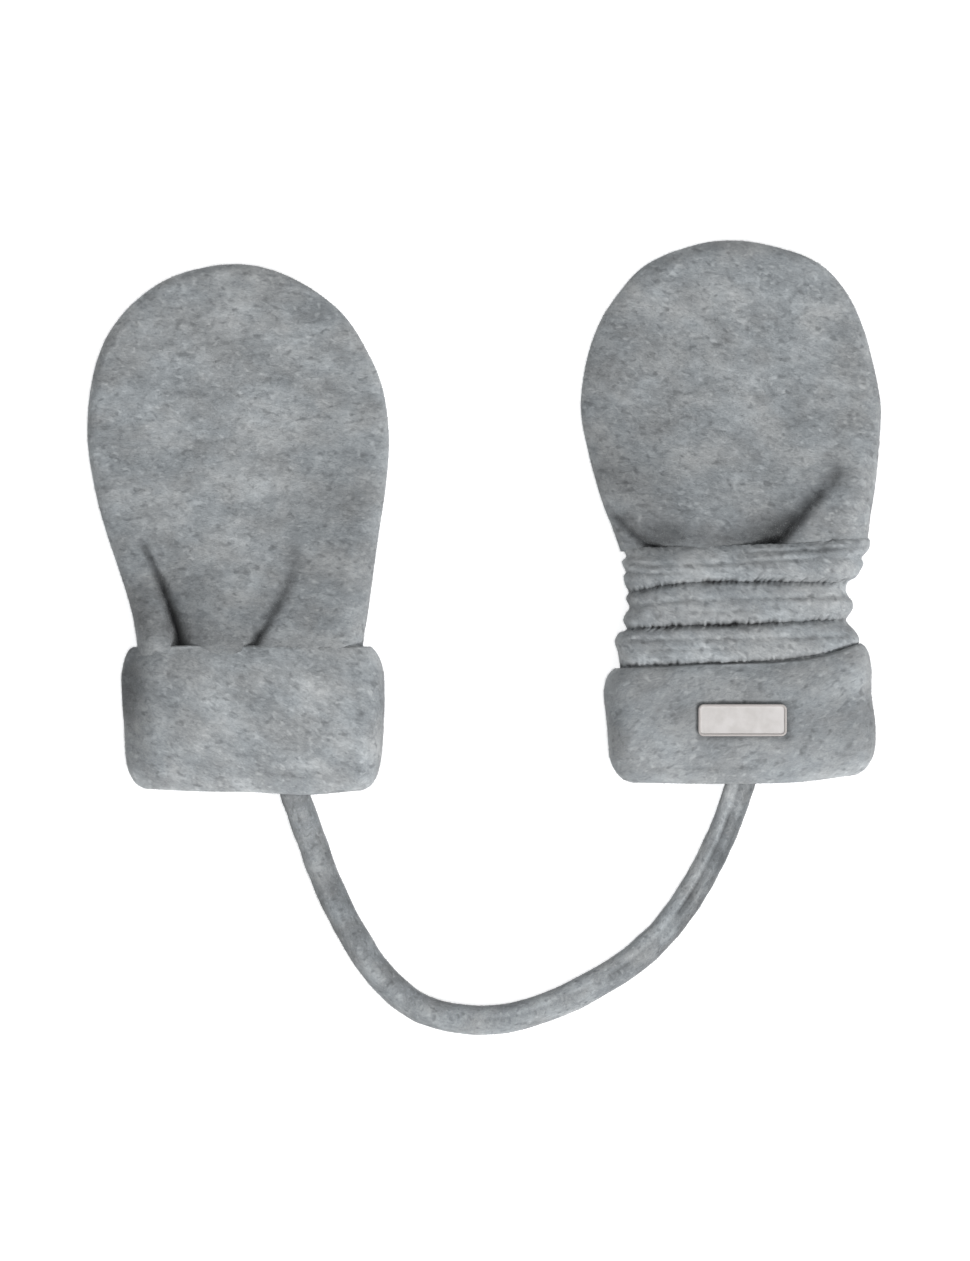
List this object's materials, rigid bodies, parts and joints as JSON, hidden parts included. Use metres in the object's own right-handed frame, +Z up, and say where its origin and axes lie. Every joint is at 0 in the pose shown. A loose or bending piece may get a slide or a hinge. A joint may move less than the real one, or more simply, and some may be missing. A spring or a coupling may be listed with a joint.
{
  "type": "pair of baby mittens",
  "caption": "Pair of thumbless fleece baby mittens with turned-up cuffs, one with a ruched wrist, joined by a flat cord and laid flat.",
  "frame": {"origin": "on the surface the pair lies on, under the middle of the box round the two mittens, without the cord", "axes": "+X from the left mitten to the right one, +Y towards the fingertips, +Z up out of the surface"},
  "size_m": [0.2144, 0.2146, 0.0168],
  "materials": {
    "fleece": "brushed, mottled grey fleece with a soft nap",
    "fleece_cord": "the same fleece, folded and sewn to a flat tube",
    "woven_label": "pale satin, bare"
  },
  "bodies": {
    "root": {"left_back": "fleece", "left_palm": "fleece", "left_cuff": "fleece", "right_back": "fleece", "right_palm": "fleece", "right_wrist": "fleece", "right_cuff": "fleece", "right_label": "woven_label", "cord": "fleece_cord"}
  },
  "joints": []
}
